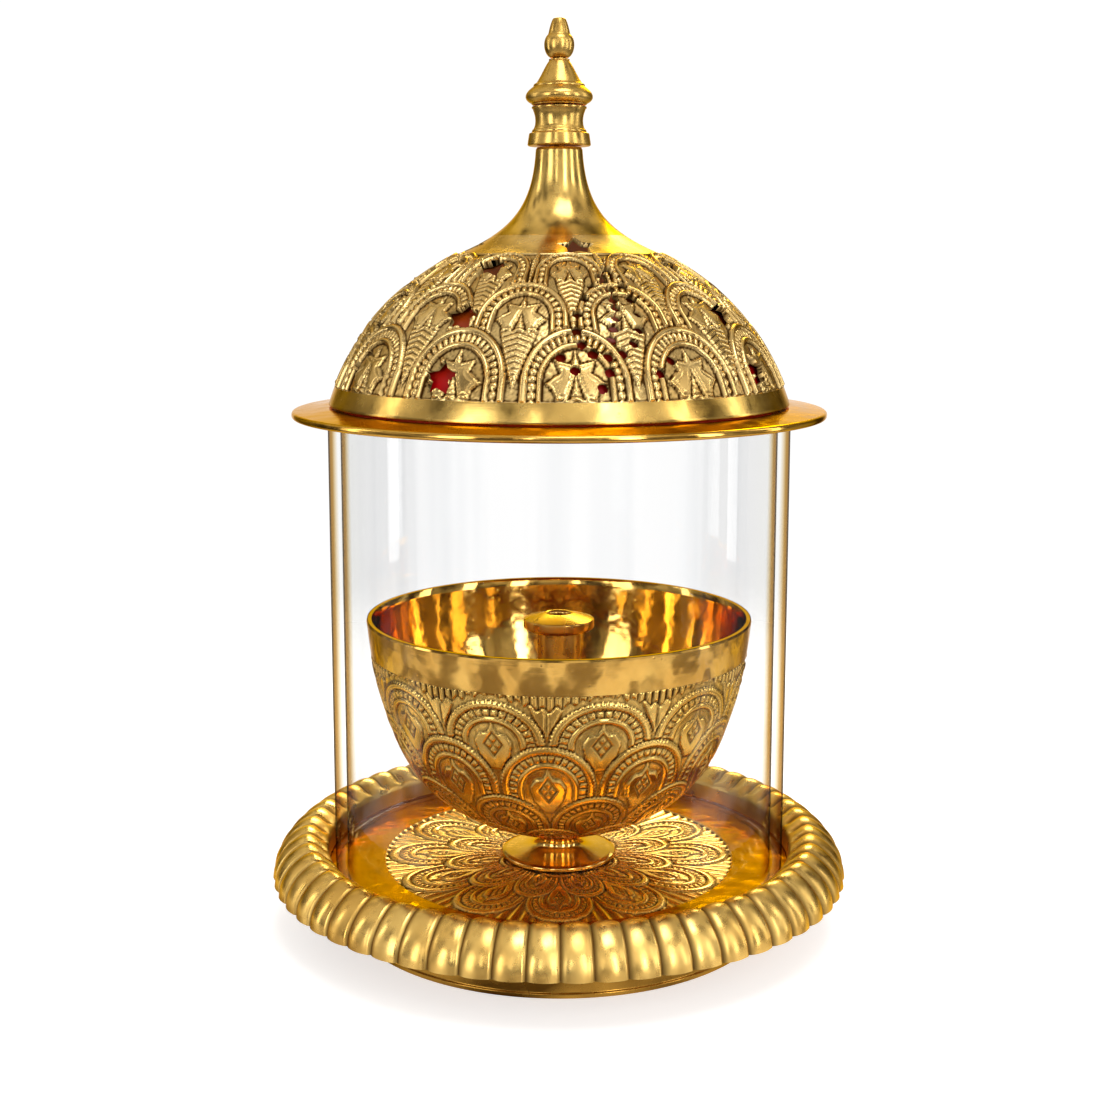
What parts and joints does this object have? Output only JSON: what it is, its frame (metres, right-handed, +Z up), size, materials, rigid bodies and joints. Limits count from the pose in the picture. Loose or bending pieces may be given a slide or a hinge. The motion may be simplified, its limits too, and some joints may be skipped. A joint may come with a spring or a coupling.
{
  "type": "camphor burner",
  "caption": "Covered brass lamp: fluted tray, glass wind shield, loose engraved oil bowl with wick holder, and a pierced dome lid with a turned finial.",
  "frame": {"origin": "centre of the foot ring's underside, on the surface it stands on", "axes": "+Z up along the lamp's axis, -Y towards the viewer of the picture, +X to the viewer's right"},
  "size_m": [0.1338, 0.1338, 0.2057],
  "materials": {
    "polished_brass": "polished",
    "chased_brass": "engraved by hand and buffed",
    "pale_chased_brass": "embossed, pierced and buffed",
    "pale_brass": "turned and polished",
    "clear_glass": "clear borosilicate tube"
  },
  "bodies": {
    "tray": {"foot_ring": "polished_brass", "tray_floor": "chased_brass", "fluted_rim": "polished_brass"},
    "chimney": {"glass_chimney": "clear_glass"},
    "lid": {"lid_plate": "polished_brass", "locating_ring": "polished_brass", "pierced_dome": "pale_chased_brass", "finial_collar": "pale_brass", "finial_bell": "pale_brass", "finial_bud": "pale_brass", "finial_stud": "pale_brass", "finial_nut": "pale_brass"},
    "bowl": {"oil_bowl": "chased_brass", "bowl_foot": "polished_brass"},
    "wick_holder": {"wick_tube": "polished_brass", "wick_disc": "polished_brass"}
  },
  "joints": [
    {"name": "chimney_lift", "type": "slide", "parent": "tray", "child": "chimney", "axis": [0, 0, 1], "range_m": [0, 0.058]},
    {"name": "lid_lift", "type": "slide", "parent": "chimney", "child": "lid", "axis": [0, 0, 1], "range_m": [0, 0.04]},
    {"name": "bowl_lift", "type": "slide", "parent": "tray", "child": "bowl", "axis": [0, 0, 1], "range_m": [0, 0.03]},
    {"name": "wick_holder_lift", "type": "slide", "parent": "bowl", "child": "wick_holder", "axis": [0, 0, 1], "range_m": [0, 0.049]}
  ]
}
